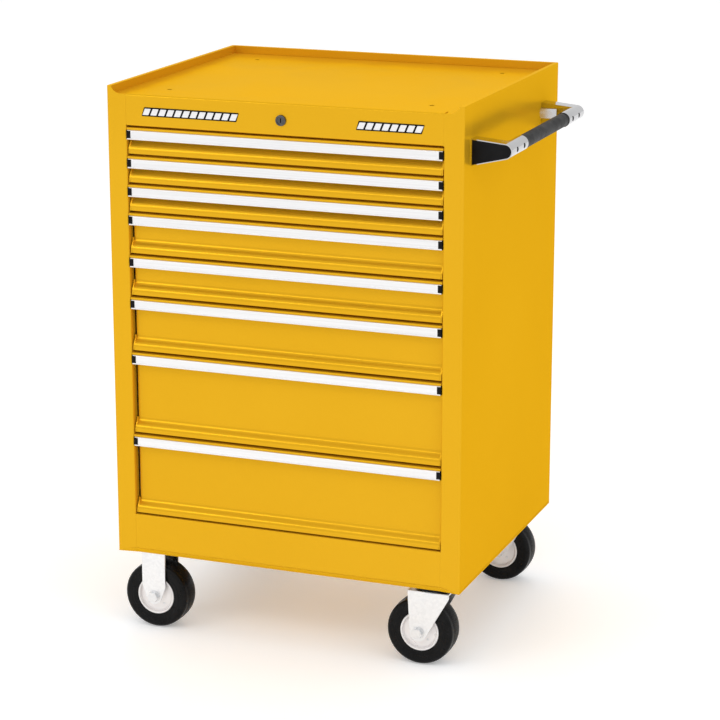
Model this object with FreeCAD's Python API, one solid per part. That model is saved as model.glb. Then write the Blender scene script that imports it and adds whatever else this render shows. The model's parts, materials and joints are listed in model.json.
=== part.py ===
"""Rolling tool box: a yellow sheet-steel roller cabinet with eight full-width drawers on telescopic slides,
a central lock that drives one latch bar behind the drawers, a push handle on the right side and four casters.

Millimetres, +Z up, front facing -Y, standing on z = 0. The shapes are built about the cabinet's own centre
line and moved at export, so that the origin lies under the middle of the whole outline, handle included.
"""
import math
import os

import FreeCAD
import Part

V = FreeCAD.Vector

# ---- driving dimensions --------------------------------------------------------------------------
WIDTH = 673.0  # body, side to side
DEPTH = 560.0  # body, front to back
HEIGHT = 1028.0  # floor to the top lip
BODY_BOTTOM = 152.0  # floor to the lower edge of the body
SHEET = 1.2  # steel sheet of the body and drawers
RUNNING = 0.08  # radial clearance of a pin in its bore
POST = 37.0  # width of the front post on each side
OPENING_BOTTOM = 228.0
OPENING_TOP = 958.0
RAIL_TOP = 1015.0  # top edge of the front rail, lower than the side lips
LIP = 8.0  # width of the lips round the top
PITCH_UNIT = 26.0  # drawer pitch for one nominal inch of drawer
DRAWER_UNITS = (2, 2, 2, 3, 3, 4, 6, 6)
DRAWER_GAP = 3.0  # between one drawer front and the next

FACE_RECESS = 15.5  # flat of a drawer front, behind the front plane
FLARE_RECESS = 3.5  # lower edge of a drawer front, behind the front plane
PULL_PROUD = 1.5  # face of the aluminium pull, ahead of the front plane
FRONT_SIDE_GAP = 4.0
PULL_SIDE_GAP = 1.5
SLIDE_THICKNESS = 12.7
SLIDE_FRONT = -250.0
SLIDE_BACK = 238.0

LOCK_Z = 985.0
LOCK_PROUD = 3.0  # face of the lock, ahead of the front plane
LATCH_STROKE = 7.5
HANDLE_Z = 949.0
HANDLE_REACH = 60.5  # side panel to the tube's axis
HANDLE_FRONT = -244.0
HANDLE_BACK = 200.0
SOCKET_LENGTH = 94.0
NOSE_RADIUS = 13.5
TUBE_RADIUS = 11.0
GRIP_RADIUS = 12.4

WHEEL_RADIUS = 63.5
TYRE_WIDTH = 50.0
RIM_RADIUS = 37.0
AXLE_RADIUS = 6.0
RIGID_X = -272.0
SWIVEL_X = 276.0
CASTER_Y = 236.0
TRAIL = 22.0  # swivel axis to axle
PLATE_TOP = 160.0  # caster plates, tucked up inside the body
PLATE = (98.0, 70.0, 3.0)
BOLT_X, BOLT_Y = 37.5, 24.0  # caster bolts, from the plate's centre
LEG_INNER, LEG_OUTER = 28.0, 31.0  # fork legs, from the wheel's mid plane

HALF_W = WIDTH / 2
FRONT = -DEPTH / 2
BACK = DEPTH / 2
OPEN_X = HALF_W - POST  # half width of the drawer opening
DECK_TOP = RAIL_TOP - SHEET
FLOOR_PAN_Z = 200.0
SLIDE_PLANE = OPEN_X - 0.3  # faces of the uprights that carry the slides
TRAY_X = SLIDE_PLANE - SLIDE_THICKNESS
HANDLE_X = HALF_W + HANDLE_REACH
ORIGIN = V((HANDLE_REACH + NOSE_RADIUS) / 2, -LOCK_PROUD / 2, 0)


# ---- small helpers -------------------------------------------------------------------------------
def block(x0, x1, y0, y1, z0, z1):
    return Part.makeBox(x1 - x0, y1 - y0, z1 - z0, V(x0, y0, z0))


def rod(radius, start, end):
    axis = V(*end) - V(*start)
    return Part.makeCylinder(radius, axis.Length, V(*start), axis)


def hexagon(across_flats, start, end):
    """A hexagonal head or nut between two points."""
    axis = V(*end) - V(*start)
    corner = across_flats / math.sqrt(3)
    points = [V(corner * math.cos(math.pi * k / 3), corner * math.sin(math.pi * k / 3), 0) for k in range(7)]
    prism = Part.Face(Part.makePolygon(points)).extrude(V(0, 0, axis.Length))
    prism.Placement = FreeCAD.Placement(V(*start), FreeCAD.Rotation(V(0, 0, 1), axis))
    return prism


def fuse(*shapes):
    return shapes[0].multiFuse(list(shapes[1:])).removeSplitter()


def mirrored_x(shape):
    return shape.mirror(V(0, 0, 0), V(1, 0, 0))


def mirrored_y(shape, y=0.0):
    return shape.mirror(V(0, y, 0), V(0, 1, 0))


def along_x(face, x0, x1):
    """Extrudes a face drawn as (y, z) in the flat between two x positions."""
    solid = face.extrude(V(0, 0, x1 - x0))
    solid.Placement = FreeCAD.Placement(V(x0, 0, 0), FreeCAD.Rotation(V(1, 1, 1), 120))
    return solid


def along_y(face, y0, y1):
    """Extrudes a face drawn as (x, z) in the flat between two y positions."""
    solid = face.extrude(V(0, 0, y1 - y0))
    solid.Placement = FreeCAD.Placement(V(0, y1, 0), FreeCAD.Rotation(V(1, 0, 0), 90))
    return solid


def polygon(points):
    return Part.Face(Part.makePolygon([V(a, b, 0) for a, b in points + [points[0]]]))


def bent_path(points, radius):
    """An open wire through the points, with its corners rounded to the bend radius."""
    nodes = [V(a, b, 0) for a, b in points]
    edges, last = [], nodes[0]
    for before, corner, after in zip(nodes, nodes[1:], nodes[2:]):
        back, on = (before - corner).normalize(), (after - corner).normalize()
        half = back.getAngle(on) / 2
        reach = radius / math.tan(half)
        start, end = corner + back * reach, corner + on * reach
        middle = corner + (back + on).normalize() * (radius / math.sin(half) - radius)
        edges.append(Part.LineSegment(last, start).toShape())
        edges.append(Part.Arc(start, middle, end).toShape())
        last = end
    edges.append(Part.LineSegment(last, nodes[-1]).toShape())
    return Part.Wire(edges)


def strip(wire, thickness):
    """The face of a sheet seen edge-on: the wire thickened to one side."""
    return wire.makeOffset2D(thickness, 0, True, True, False)


def save(name, *solids):
    shape = solids[0] if len(solids) == 1 else Part.makeCompound(list(solids))
    shape = shape.copy()
    shape.translate(-ORIGIN)
    if not shape.isValid():
        print("not valid:", name)
    print(f"{name}: {len(shape.Solids)} solids, {shape.Volume / 1000:.1f} cm3")
    shape.exportStep(f"parts/{name}.step")


# ---- cabinet body --------------------------------------------------------------------------------
LIP_CURVE = 22.0  # length of the dip from the lip down to the front rail


def lip_dip():
    """What is cut off the top of a front post, so that its edge sweeps down from the corner to the rail."""
    x1, x0 = HALF_W - LIP, HALF_W - LIP - LIP_CURVE
    top, low = HEIGHT + 5, RAIL_TOP
    sweep = Part.Arc(V(x0, low, 0), V(x0 + LIP_CURVE * 0.72, low + 4.0, 0), V(x1, HEIGHT, 0)).toShape()
    past = OPEN_X - 3
    sides = Part.makePolygon([V(x1, HEIGHT, 0), V(x1, top, 0), V(past, top, 0), V(past, low, 0),
                              V(x0, low, 0)])
    return along_y(Part.Face(Part.Wire([sweep] + sides.Edges)), FRONT - 5, FRONT + 24)


def bevel_corner():
    """The wedge under a front post, and the folded triangle of sheet that closes it."""
    corner = V(HALF_W, FRONT, BODY_BOTTOM)
    upper = V(OPEN_X, FRONT, BODY_BOTTOM + 8)
    inner = V(OPEN_X, FRONT + 5, BODY_BOTTOM)
    heel = V(OPEN_X, FRONT, BODY_BOTTOM)
    faces = [Part.Face(Part.makePolygon([a, b, c, a])) for a, b, c in
             ((corner, upper, inner), (corner, heel, upper), (corner, inner, heel), (upper, heel, inner))]
    wedge = Part.makeSolid(Part.makeShell(faces))
    flap = faces[0].extrude((upper - corner).cross(inner - corner).normalize() * SHEET)
    if flap.CenterOfMass.y < faces[0].CenterOfMass.y:
        flap = faces[0].extrude((inner - corner).cross(upper - corner).normalize() * SHEET)
    return wedge, flap


def side_panel():
    """Right-hand side: post return, front post, side and back return, in one folded sheet."""
    plan = bent_path([(OPEN_X, FRONT + 18), (OPEN_X, FRONT), (HALF_W, FRONT), (HALF_W, BACK - SHEET),
                      (HALF_W - 18, BACK - SHEET)], 3.0)
    sheet = strip(plan, -SHEET)
    if sheet.BoundBox.XMax > HALF_W + 0.1:
        sheet = strip(plan, SHEET)
    wall = sheet.extrude(V(0, 0, HEIGHT - BODY_BOTTOM))
    wall.translate(V(0, 0, BODY_BOTTOM))
    wedge, flap = bevel_corner()
    for z0, z1 in ((BODY_BOTTOM, OPENING_BOTTOM), (OPENING_TOP, RAIL_TOP)):
        wall = wall.cut(block(OPEN_X - 1, OPEN_X + 5, FRONT + SHEET, FRONT + 20, z0 - 1, z1 + 1))
        wall = wall.fuse(block(OPEN_X, OPEN_X + 5, FRONT, FRONT + SHEET, z0, z1))
    wall = wall.cut(block(HALF_W - 20, HALF_W - LIP, BACK - 3 * SHEET, BACK, HEIGHT - SHEET, HEIGHT + 1))
    wall = wall.cut(lip_dip()).cut(wedge)
    front, back = FRONT + SHEET, BACK - 2 * SHEET
    lip_top = block(HALF_W - LIP, HALF_W - SHEET, front, back, HEIGHT - SHEET, HEIGHT)
    lip_inner = block(HALF_W - LIP, HALF_W - LIP + SHEET, front, back, DECK_TOP, HEIGHT)
    foot = block(HALF_W - 10, HALF_W - SHEET, front, back, BODY_BOTTOM, BODY_BOTTOM + SHEET)
    holes = [rod(4.2, (HALF_W - 30, y, z), (HALF_W + 5, y, z)) for y, z in handle_bolts()]
    return fuse(wall, flap, lip_top, lip_inner, foot), holes


def back_panel():
    sheet = block(-HALF_W + 1.5, HALF_W - 1.5, BACK - SHEET, BACK, BODY_BOTTOM, HEIGHT)
    reach = HALF_W - LIP
    lip_top = block(-reach, reach, BACK - LIP, BACK - SHEET, HEIGHT - SHEET, HEIGHT)
    lip_inner = block(-reach, reach, BACK - LIP, BACK - LIP + SHEET, DECK_TOP, HEIGHT)
    foot = block(-reach + 12, reach - 12, BACK - 8, BACK - SHEET, BODY_BOTTOM, BODY_BOTTOM + SHEET)
    return fuse(sheet, lip_top, lip_inner, foot)


def top_rail():
    profile = bent_path([(FRONT + 16, OPENING_TOP), (FRONT, OPENING_TOP), (FRONT, RAIL_TOP),
                         (FRONT + 22, RAIL_TOP)], 3.5)
    rail = along_x(inward(profile, RAIL_TOP), -OPEN_X, OPEN_X)
    return rail.cut(rod(9.0, (0, FRONT - 5, LOCK_Z), (0, FRONT + 10, LOCK_Z)))


def bottom_rail():
    profile = bent_path([(FRONT + 18, OPENING_BOTTOM), (FRONT, OPENING_BOTTOM), (FRONT, BODY_BOTTOM + 8),
                         (FRONT + 5, BODY_BOTTOM), (FRONT + 8.5, BODY_BOTTOM)], 1.6)
    return along_x(inward(profile, OPENING_BOTTOM), -OPEN_X, OPEN_X)


def inward(profile, highest):
    """The sheet's face on the side of the path that stays inside the body."""
    face = strip(profile, SHEET)
    if face.BoundBox.YMax > highest + 0.1 or face.BoundBox.XMin < FRONT - 0.1:
        face = strip(profile, -SHEET)
    return face


CHEST_X, CHEST_Y = 500.0, 400.0  # bolt holes in the deck for a chest on top
DECK_JOGGLE = 0.2  # the deck's step down under the top rail's flange


def top_deck():
    reach = HALF_W - LIP
    deck = block(-reach, reach, FRONT + 6, BACK - LIP, DECK_TOP - SHEET, DECK_TOP)
    skirt_front = block(-OPEN_X, OPEN_X, FRONT + 22, FRONT + 22 + SHEET, DECK_TOP - 14, DECK_TOP - SHEET)
    deck = fuse(deck, skirt_front)
    joggle = block(-OPEN_X - 0.5, OPEN_X + 0.5, FRONT, FRONT + 22.5, DECK_TOP - DECK_JOGGLE, DECK_TOP + 1)
    deck = deck.cut(joggle)
    for x in (-CHEST_X / 2, CHEST_X / 2):
        for y in (-CHEST_Y / 2, CHEST_Y / 2):
            deck = deck.cut(rod(4.5, (x, y, DECK_TOP - 20), (x, y, DECK_TOP + 5)))
    return deck


def floor_pan():
    reach = HALF_W - SHEET
    return block(-reach, reach, FRONT + 20, BACK - 6, FLOOR_PAN_Z, FLOOR_PAN_Z + SHEET)


CHANNEL_HALF = 52.0
CHANNEL_SHEET = 2.5


def caster_channels():
    """Two channels from front to back, each carrying a pair of casters and the floor pan."""
    made = []
    for x in (RIGID_X, SWIVEL_X):
        y0, y1 = FRONT + 6, BACK - 6
        web = block(x - CHANNEL_HALF, x + CHANNEL_HALF, y0, y1, PLATE_TOP, PLATE_TOP + CHANNEL_SHEET)
        walls = [block(a, a + CHANNEL_SHEET, y0, y1, PLATE_TOP, FLOOR_PAN_Z)
                 for a in (x - CHANNEL_HALF, x + CHANNEL_HALF - CHANNEL_SHEET)]
        channel = fuse(web, *walls)
        for bx, by in caster_bolts(x):
            channel = channel.cut(rod(4.3, (bx, by, PLATE_TOP - 5), (bx, by, PLATE_TOP + 8)))
        made.append(channel)
    return made


UPRIGHT_Y = ((SLIDE_FRONT, SLIDE_FRONT + 40), (SLIDE_BACK - 40, SLIDE_BACK))


def slide_uprights():
    """Four channels inside the side panels, which the slides are fixed to."""
    made = []
    for y0, y1 in UPRIGHT_Y:
        web = block(SLIDE_PLANE, SLIDE_PLANE + 1.5, y0, y1, FLOOR_PAN_Z + SHEET, DECK_TOP - SHEET)
        walls = [block(SLIDE_PLANE, HALF_W - SHEET, a, a + 1.5, FLOOR_PAN_Z + SHEET, DECK_TOP - SHEET)
                 for a in (y0, y1 - 1.5)]
        right = fuse(web, *walls)
        made += [right, mirrored_x(right)]
    return made


# ---- drawers -------------------------------------------------------------------------------------
def drawer_tops():
    """[(height of the drawer front's upper edge, pitch)] from the top drawer down."""
    top, found = OPENING_TOP - 2.0, []
    for units in DRAWER_UNITS:
        pitch = units * PITCH_UNIT
        found.append((top, pitch))
        top -= pitch
    return found


TRAY_FRONT = FRONT + FACE_RECESS + SHEET
TRAY_BACK = SLIDE_BACK
TRAY_RIM = 8.0  # tray sides end this far below the front's upper edge
CATCH_DROP = 32.0  # lock catch, below the front's upper edge


HEM = 4.0  # fold along the tray's rim


def drawer_tray(top, pitch):
    """Floor, sides and back of one drawer, welded sheets with a folded rim, and the lock catch behind."""
    low, rim = top - pitch + DRAWER_GAP + 1.5, top - TRAY_RIM
    floor = block(-TRAY_X, TRAY_X, TRAY_FRONT, TRAY_BACK, low, low + SHEET)
    wall = block(TRAY_X - SHEET, TRAY_X, TRAY_FRONT, TRAY_BACK, low + SHEET, rim)
    right = fuse(wall, block(TRAY_X - HEM, TRAY_X, TRAY_FRONT, TRAY_BACK, rim - SHEET, rim))
    inner = TRAY_X - SHEET
    wall = block(-inner, inner, TRAY_BACK - SHEET, TRAY_BACK, low + SHEET, rim - SHEET)
    back = fuse(wall, block(HEM - TRAY_X, TRAY_X - HEM, TRAY_BACK - HEM, TRAY_BACK, rim - SHEET, rim))
    catch = top - CATCH_DROP
    tab = block(-10, 10, TRAY_BACK, TRAY_BACK + 13, catch, catch + 1.5)
    foot = block(-10, 10, TRAY_BACK, TRAY_BACK + 1.5, catch - 6, catch)
    lip = block(-10, 10, TRAY_BACK + 11.5, TRAY_BACK + 13, catch, catch + 8)
    return [floor, right, mirrored_x(right), back, fuse(tab, foot, lip)]


FLARE_HEIGHT = 22.0
FOLD = 4.0  # depth of the folds behind the top and ends of a drawer front


def drawer_front(top, pitch):
    """Front sheet: a flat face that sweeps forward to its lower edge, folded back all round."""
    flat, flare = FRONT + FACE_RECESS, FRONT + FLARE_RECESS
    low = top - pitch + DRAWER_GAP
    start, end = low + 5 + FLARE_HEIGHT, low + 5
    across = flat - flare
    radius = (FLARE_HEIGHT**2 + across**2) / (4 * across)
    turn = 2 * math.atan2(across, FLARE_HEIGHT)
    middle = V((flat + flare) / 2, (start + end) / 2, 0)

    def on_arc(centre, angle):
        return V(centre[0] + radius * math.cos(angle), centre[1] + radius * math.sin(angle), 0)

    upper, lower = (flat - radius, start), (flare + radius, end)
    edges = [
        Part.LineSegment(V(flat + FOLD, top, 0), V(flat, top, 0)).toShape(),
        Part.LineSegment(V(flat, top, 0), V(flat, start, 0)).toShape(),
        Part.Arc(V(flat, start, 0), on_arc(upper, -turn / 2), middle).toShape(),
        Part.Arc(middle, on_arc(lower, math.pi - turn / 2), V(flare, end, 0)).toShape(),
        Part.LineSegment(V(flare, end, 0), V(flare, low, 0)).toShape(),
        Part.LineSegment(V(flare, low, 0), V(flat + SHEET, low, 0)).toShape(),
    ]
    wire = Part.Wire(edges)
    face = strip(wire, SHEET)
    if face.BoundBox.XMin < flare - 0.1:
        face = strip(wire, -SHEET)
    half = OPEN_X - FRONT_SIDE_GAP
    sheet = along_x(face, -half, half)
    ends = [block(s * half if s < 0 else half - SHEET, s * half + SHEET if s < 0 else half,
                  flat + SHEET, flat + FOLD, low + 6, top - SHEET) for s in (-1, 1)]
    return fuse(sheet, *ends)


PULL_HEIGHT = 23.2  # from the drawer front's upper edge down to the pull's lower edge


def pull_profile(top):
    """Cross-section of the aluminium pull, as (y, z): sloping top, flat face, and a bead to hook under."""
    back, face = FRONT + FACE_RECESS, FRONT - PULL_PROUD
    low = top - PULL_HEIGHT
    outside = [(back, top - 1.0), (face + 3.2, top - 5.6), (face + 1.7, top - 6.6), (face + 1.0, top - 7.8)]
    bead = [(face + 1.0, low + 3.0), (face, low + 2.4), (face, low + 0.8), (face + 0.8, low), (face + 4.4, low),
            (face + 4.4, low + 1.6), (face + 2.7, low + 1.8)]
    inside = [(face + 2.7, top - 9.4), (face + 4.0, top - 7.6), (back - 1.6, top - 3.2)]
    return polygon(outside + bead + inside + [(back - 1.6, top - 14.0), (back, top - 14.0)])


def drawer_pull(top):
    half = OPEN_X - PULL_SIDE_GAP
    return along_x(pull_profile(top), -half, half)


def slide_height(top, pitch):
    return top - pitch / 2


def channel_member(x_web, x_tip, half_height, y0, y1, z):
    """A C-section slide member on the right-hand side: web at x_web, flanges reaching to x_tip."""
    sheet = 1.2
    step = sheet if x_tip > x_web else -sheet
    lo, hi = sorted((x_web, x_web + step))
    web = block(lo, hi, y0, y1, z - half_height, z + half_height)
    lo, hi = sorted((x_web, x_tip))
    flanges = [block(lo, hi, y0, y1, a, a + sheet) for a in (z - half_height, z + half_height - sheet)]
    return fuse(web, *flanges)


def outer_members(top, pitch):
    z = slide_height(top, pitch)
    right = channel_member(SLIDE_PLANE, SLIDE_PLANE - 9.0, 17.5, SLIDE_FRONT, SLIDE_BACK, z)
    return [right, mirrored_x(right)]


def middle_members(top, pitch):
    z = slide_height(top, pitch)
    web = SLIDE_PLANE - 5.5
    right = channel_member(web, web + 3.2, 15.0, SLIDE_FRONT + 2, SLIDE_BACK - 18, z)
    right = fuse(right, channel_member(web, web - 4.2, 15.0, SLIDE_FRONT + 2, SLIDE_BACK - 18, z))
    return [right, mirrored_x(right)]


def inner_members(top, pitch):
    z = slide_height(top, pitch)
    right = channel_member(TRAY_X, TRAY_X + 5.0, 11.5, SLIDE_FRONT, SLIDE_BACK, z)
    return [right, mirrored_x(right)]


# ---- lock ----------------------------------------------------------------------------------------
CRANK = LATCH_STROKE / math.sqrt(2)  # radius that lifts the bar by its stroke over a quarter turn
BAR_Y0, BAR_Y1 = 262.0, 265.0
PLUG_RADIUS = 6.5
ROD_RADIUS = 3.0


def lock_housing():
    """Flanged barrel of the lock and the nut that clamps it to the rail from behind."""
    flange = rod(9.6, (0, FRONT - LOCK_PROUD, LOCK_Z), (0, FRONT, LOCK_Z))
    barrel = rod(8.8, (0, FRONT, LOCK_Z), (0, FRONT + 22, LOCK_Z))
    nut = hexagon(22, (0, FRONT + SHEET, LOCK_Z), (0, FRONT + 6, LOCK_Z)).cut(barrel)
    bore = rod(PLUG_RADIUS + RUNNING, (0, FRONT - 4, LOCK_Z), (0, FRONT + 23, LOCK_Z))
    return fuse(flange, barrel).cut(bore), nut


def lock_plug():
    """Key plug, with the rod that turns the crank at the back; the crank pin stands up and to the right."""
    plug = rod(PLUG_RADIUS, (0, FRONT - 2.4, LOCK_Z), (0, FRONT + 22, LOCK_Z))
    plug = plug.cut(block(-0.9, 0.9, FRONT - 3, FRONT + 6, LOCK_Z - 4, LOCK_Z + 4))
    shaft = rod(ROD_RADIUS, (0, FRONT + 22, LOCK_Z), (0, 258.5, LOCK_Z))
    disc = rod(8.5, (0, 255.0, LOCK_Z), (0, 258.5, LOCK_Z))
    reach = CRANK / math.sqrt(2)
    pin = rod(2.0, (reach, 258.0, LOCK_Z + reach), (reach, 267.5, LOCK_Z + reach))
    return fuse(plug, shaft, disc, pin)


HOOK_RISE = 22.0  # hook, above the catch


def lock_bar():
    """Upright bar behind the drawers, raised at rest; each hook drops in front of its drawer's catch."""
    lift = CRANK / math.sqrt(2)
    bar = block(-10, 10, BAR_Y0, BAR_Y1, OPENING_BOTTOM + 16, LOCK_Z + 15)
    slot = block(1.0, 8.4, BAR_Y0 - 1, BAR_Y1 + 1, LOCK_Z + lift - 2.45, LOCK_Z + lift + 2.45)
    pieces = []
    for top, _ in drawer_tops():
        hook = top - CATCH_DROP + HOOK_RISE
        pieces.append(block(-10, 10, TRAY_BACK + 6, BAR_Y0 + 1, hook, hook + 1.5))
        pieces.append(block(-10, 10, TRAY_BACK + 6, TRAY_BACK + 7.5, hook - 12, hook + 1.5))
    return fuse(bar, *pieces).cut(slot)


GUIDE_Z = (905.0, 430.0, 262.0)


def lock_guides():
    """Straps that hold the bar to the back panel, and the hanger that carries the rod's far end."""
    made = []
    for z in GUIDE_Z:
        strap = block(-14, 14, BAR_Y0 - 2.2, BACK - SHEET, z, z + 12)
        strap = strap.cut(block(-10.6, 10.6, BAR_Y0 - 0.7, BACK, z - 1, z + 13))
        feet = [block(a, b, BACK - SHEET - 1.5, BACK - SHEET, z, z + 12) for a, b in ((-26, -12), (12, 26))]
        made.append(fuse(strap, *feet))
    hanger = block(-16, 16, 232, 234, LOCK_Z - 12, DECK_TOP - SHEET)
    flange = block(-16, 16, 218, 234, DECK_TOP - SHEET - 2, DECK_TOP - SHEET)
    made.append(fuse(hanger, flange).cut(rod(ROD_RADIUS + RUNNING, (0, 225, LOCK_Z), (0, 240, LOCK_Z))))
    return made


# ---- name plates ---------------------------------------------------------------------------------
PLATE_SPANS = ((-268.0, -80.0), (140.0, 265.0))
NAME_PLATE_HALF = 8.0


def name_plates():
    """Two blank slanted trim plates on the top rail."""
    made = []
    for x0, x1 in PLATE_SPANS:
        lean = 5.0
        face = polygon([(x0, LOCK_Z - NAME_PLATE_HALF), (x1 - lean, LOCK_Z - NAME_PLATE_HALF),
                        (x1, LOCK_Z + NAME_PLATE_HALF), (x0 + lean, LOCK_Z + NAME_PLATE_HALF)])
        made.append(along_y(face, FRONT - 1.4, FRONT))
    return made


# ---- handle --------------------------------------------------------------------------------------
def bracket_outline(grow=0.0):
    """Side view of a handle bracket, as (x, z): deep at the panel, with a round nose about the tube."""
    root_top, root_low = HANDLE_Z + 19 + grow, HANDLE_Z - 28 - grow
    root = HALF_W - grow
    radius = NOSE_RADIUS + grow
    upper, lower = math.radians(84), math.radians(-77)
    a = V(HANDLE_X + radius * math.cos(upper), HANDLE_Z + radius * math.sin(upper), 0)
    b = V(HANDLE_X + radius, HANDLE_Z, 0)
    c = V(HANDLE_X + radius * math.cos(lower), HANDLE_Z + radius * math.sin(lower), 0)
    lines = Part.makePolygon([c, V(root, root_low, 0), V(root, root_top, 0), a])
    return Part.Face(Part.Wire([Part.Arc(a, b, c).toShape()] + lines.Edges))


ARM_LENGTH = 30.0
SCREW_RADIUS = 3.0
CAP_DEPTH = 2.0
CAP_INSET = 1.7


def handle_bracket():
    """Front bracket: an arm off the panel, its end pocketed for a cap, and the socket that takes the tube."""
    arm = along_y(bracket_outline(), HANDLE_FRONT, HANDLE_FRONT + ARM_LENGTH)
    socket_end = HANDLE_FRONT + SOCKET_LENGTH
    socket = rod(NOSE_RADIUS, (HANDLE_X, HANDLE_FRONT, HANDLE_Z), (HANDLE_X, socket_end, HANDLE_Z))
    heel = HANDLE_FRONT + ARM_LENGTH
    near = HANDLE_X - 4
    outline = [(HALF_W, heel), (HALF_W, heel + 8), (HANDLE_X - 30, heel + 4), (near, heel + 26), (near, heel)]
    gusset = polygon(outline).extrude(V(0, 0, 18))
    gusset.translate(V(0, 0, HANDLE_Z - 9))
    body = fuse(arm, socket, gusset)
    pocket = along_y(bracket_outline(-CAP_INSET), HANDLE_FRONT, HANDLE_FRONT + CAP_DEPTH)
    bore = rod(TUBE_RADIUS, (HANDLE_X, HANDLE_FRONT + 9, HANDLE_Z), (HANDLE_X, socket_end + 1, HANDLE_Z))
    body = body.cut(pocket).cut(bore)
    for y, z in handle_bolts()[:2]:
        body = body.cut(rod(4.0, (HALF_W - 1, y, z), (HALF_W + 22, y, z)))
    for y in screw_places():
        body = body.cut(rod(SCREW_RADIUS, (HANDLE_X + TUBE_RADIUS, y, HANDLE_Z), (HANDLE_X + 16, y, HANDLE_Z)))
    return body


def screw_places():
    """Along y: the two set screws that hold the tube in the front socket."""
    return (HANDLE_FRONT + 32, HANDLE_FRONT + SOCKET_LENGTH - 22)


def handle_bolts():
    """(y, z) of the bolts that hold both brackets to the side panel, front pair first."""
    centre = (HANDLE_FRONT + HANDLE_BACK) / 2
    front = [(HANDLE_FRONT + 16, HANDLE_Z + 7), (HANDLE_FRONT + 16, HANDLE_Z - 16)]
    return front + [(2 * centre - y, z) for y, z in front]


def end_cap():
    return along_y(bracket_outline(-CAP_INSET), HANDLE_FRONT, HANDLE_FRONT + CAP_DEPTH)


def grip():
    """Rubber sleeve between the sockets, with a low collar at each end."""
    y0, y1 = HANDLE_FRONT + SOCKET_LENGTH, HANDLE_BACK - SOCKET_LENGTH
    sleeve = rod(GRIP_RADIUS, (HANDLE_X, y0, HANDLE_Z), (HANDLE_X, y1, HANDLE_Z))
    collars = [rod(NOSE_RADIUS - 0.2, (HANDLE_X, a, HANDLE_Z), (HANDLE_X, a + 3, HANDLE_Z))
               for a in (y0, y1 - 3)]
    return fuse(sleeve, *collars).cut(rod(TUBE_RADIUS, (HANDLE_X, y0, HANDLE_Z), (HANDLE_X, y1, HANDLE_Z)))


def set_screws():
    made = []
    for y in screw_places():
        screw = rod(SCREW_RADIUS, (HANDLE_X + TUBE_RADIUS, y, HANDLE_Z), (HANDLE_X + 12.9, y, HANDLE_Z))
        key = hexagon(3, (HANDLE_X + TUBE_RADIUS + 0.8, y, HANDLE_Z), (HANDLE_X + NOSE_RADIUS, y, HANDLE_Z))
        made.append(screw.cut(key))
    return made


# ---- casters -------------------------------------------------------------------------------------
def caster_bolts(x):
    """(x, y) of the eight bolts under one channel."""
    return [(x + a * BOLT_X, s * CASTER_Y + b * BOLT_Y) for s in (-1, 1) for a in (-1, 1) for b in (-1, 1)]


def mounting_plate(x, y):
    length, width, thick = PLATE
    plate = block(x - length / 2, x + length / 2, y - width / 2, y + width / 2, PLATE_TOP - thick, PLATE_TOP)
    corners = [e for e in plate.Edges if abs(e.tangentAt(e.FirstParameter).z) > 0.9]
    plate = plate.makeFillet(8, corners)
    for a in (-1, 1):
        for b in (-1, 1):
            hole = (x + a * BOLT_X, y + b * BOLT_Y)
            plate = plate.cut(rod(4.3, (*hole, PLATE_TOP - 9), (*hole, PLATE_TOP + 1)))
    return plate


def tangent_point(px, pz, cx, cz, radius, side):
    """Where a line from a point touches a circle, on the side asked for."""
    dx, dz = cx - px, cz - pz
    distance = math.hypot(dx, dz)
    lean = math.asin(radius / distance) * side
    angle = math.atan2(dz, dx) + lean
    reach = math.sqrt(distance**2 - radius**2)
    return px + reach * math.cos(angle), pz + reach * math.sin(angle)


def fork_leg(x, y0, y1, top, knee, left, right, axle_x, radius):
    """One flat leg: upright edges down to the knee, then straight in to a round end about the axle."""
    a = tangent_point(left, knee, axle_x, WHEEL_RADIUS, radius, -1)
    b = tangent_point(right, knee, axle_x, WHEEL_RADIUS, radius, 1)
    outline = [(left, top), (right, top), (right, knee), b, (axle_x, WHEEL_RADIUS), a, (left, knee)]
    leg = along_y(polygon([(x + px, pz) for px, pz in outline]), y0, y1)
    return fuse(leg, rod(radius, (x + axle_x, y0, WHEEL_RADIUS), (x + axle_x, y1, WHEEL_RADIUS)))


def fork(x, y, top, knee, left, right, axle_x, radius):
    """An upside-down U over the wheel, with rounded folds, bored for its axle."""
    legs = [fork_leg(x, y + a, y + b, top, knee, left, right, axle_x, radius)
            for a, b in ((-LEG_OUTER, -LEG_INNER), (LEG_INNER, LEG_OUTER))]
    crown = block(x + left, x + right, y - LEG_OUTER, y + LEG_OUTER, top - (LEG_OUTER - LEG_INNER), top)
    shape = fuse(*legs, crown)
    folds = []
    for edge in shape.Edges:
        middle = edge.CenterOfMass
        if abs(middle.z - top) < 0.1 and abs(abs(middle.y - y) - LEG_OUTER) < 0.1:
            folds.append(edge)
    shape = shape.makeFillet(2.6, folds)
    axle = (x + axle_x, y - LEG_OUTER - 1, WHEEL_RADIUS), (x + axle_x, y + LEG_OUTER + 1, WHEEL_RADIUS)
    return shape.cut(rod(AXLE_RADIUS, *axle))


def rigid_fork(y):
    top = PLATE_TOP - PLATE[2]
    return fuse(fork(RIGID_X, y, top, WHEEL_RADIUS + 20, -23.5, 23.5, 0, 15), mounting_plate(RIGID_X, y))


CROWN_TOP = 144.0
KING_RADIUS = 6.0


def swivel_fork(y):
    shape = fork(SWIVEL_X, y, CROWN_TOP, CROWN_TOP - 9, -42, 36, -TRAIL, 16)
    race = rod(30.0, (SWIVEL_X, y, CROWN_TOP - 5), (SWIVEL_X, y, CROWN_TOP + 0.5))
    shape = fuse(shape, race)
    return shape.cut(rod(KING_RADIUS + RUNNING, (SWIVEL_X, y, CROWN_TOP - 10), (SWIVEL_X, y, CROWN_TOP + 5)))


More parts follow.
